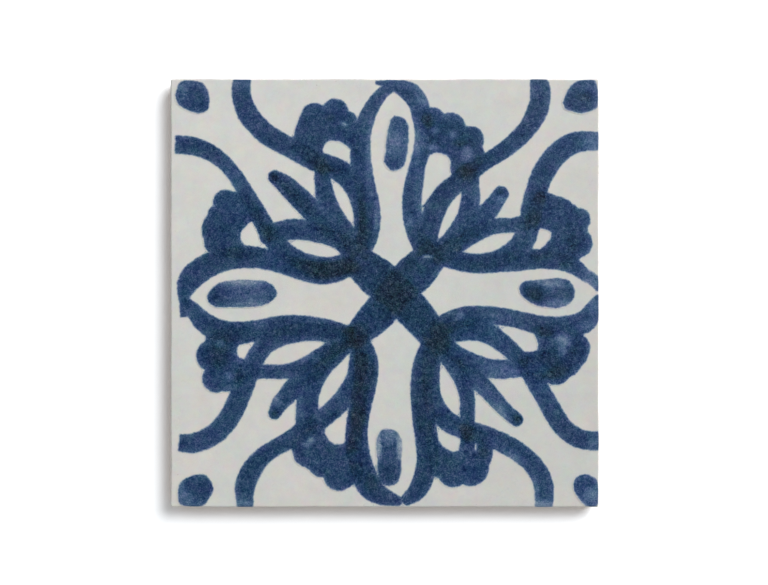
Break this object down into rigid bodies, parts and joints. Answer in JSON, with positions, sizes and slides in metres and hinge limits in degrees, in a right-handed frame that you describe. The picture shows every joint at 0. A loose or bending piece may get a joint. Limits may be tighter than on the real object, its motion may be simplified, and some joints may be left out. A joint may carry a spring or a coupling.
{
  "type": "floor tile",
  "caption": "Square fired-clay floor tile with a white tin glaze over its face and rounded edges, a painted cobalt-blue flower of brush strokes, and a keyed back for mortar.",
  "frame": {"origin": "middle of the tile's bedding plane, under the centre of the painted face", "axes": "+Z out of the glazed face, +X to the right and +Y up as the face is seen in the picture"},
  "size_m": [0.2, 0.2, 0.0102],
  "materials": {
    "biscuit": "matt buff fired clay",
    "glaze": "satin white tin glaze",
    "cobalt": "satin cobalt brushwork fired into the glaze",
    "dark_cobalt": "satin cobalt, several strokes deep",
    "pale_cobalt": "satin thin cobalt wash"
  },
  "bodies": {
    "root": {"biscuit_body": "biscuit", "white_glaze": "glaze", "centre_cross": "dark_cobalt", "petal_n_right": "cobalt", "petal_n_left": "cobalt", "petal_e_upper": "cobalt", "petal_e_lower": "cobalt", "petal_s_left": "cobalt", "petal_s_right": "cobalt", "petal_w_upper": "cobalt", "petal_w_lower": "cobalt", "scroll_nw_top": "cobalt", "scroll_nw_left": "cobalt", "scroll_ne_top": "cobalt", "scroll_ne_right": "cobalt", "scroll_se_right": "cobalt", "scroll_se_bottom": "cobalt", "scroll_sw_bottom": "cobalt", "scroll_sw_left": "cobalt", "leaf_nw_top": "cobalt", "leaf_nw_left": "cobalt", "leaf_ne_top": "cobalt", "leaf_ne_right": "cobalt", "leaf_se_right": "cobalt", "leaf_se_bottom": "cobalt", "leaf_sw_bottom": "cobalt", "leaf_sw_left": "cobalt", "bud_nw": "cobalt", "bud_ne": "cobalt", "bud_se": "cobalt", "bud_sw": "cobalt", "lobes_nw_top": "cobalt", "lobes_nw_left": "cobalt", "lobes_ne_top": "cobalt", "lobes_ne_right": "cobalt", "lobes_se_right": "cobalt", "lobes_se_bottom": "cobalt", "lobes_sw_bottom": "cobalt", "lobes_sw_left": "cobalt", "dab_n": "pale_cobalt", "dab_e": "pale_cobalt", "dab_s": "pale_cobalt", "dab_w": "pale_cobalt", "corner_dot_nw": "cobalt", "corner_dot_ne": "cobalt", "corner_dot_se": "cobalt", "corner_dot_sw": "cobalt"}
  },
  "joints": []
}
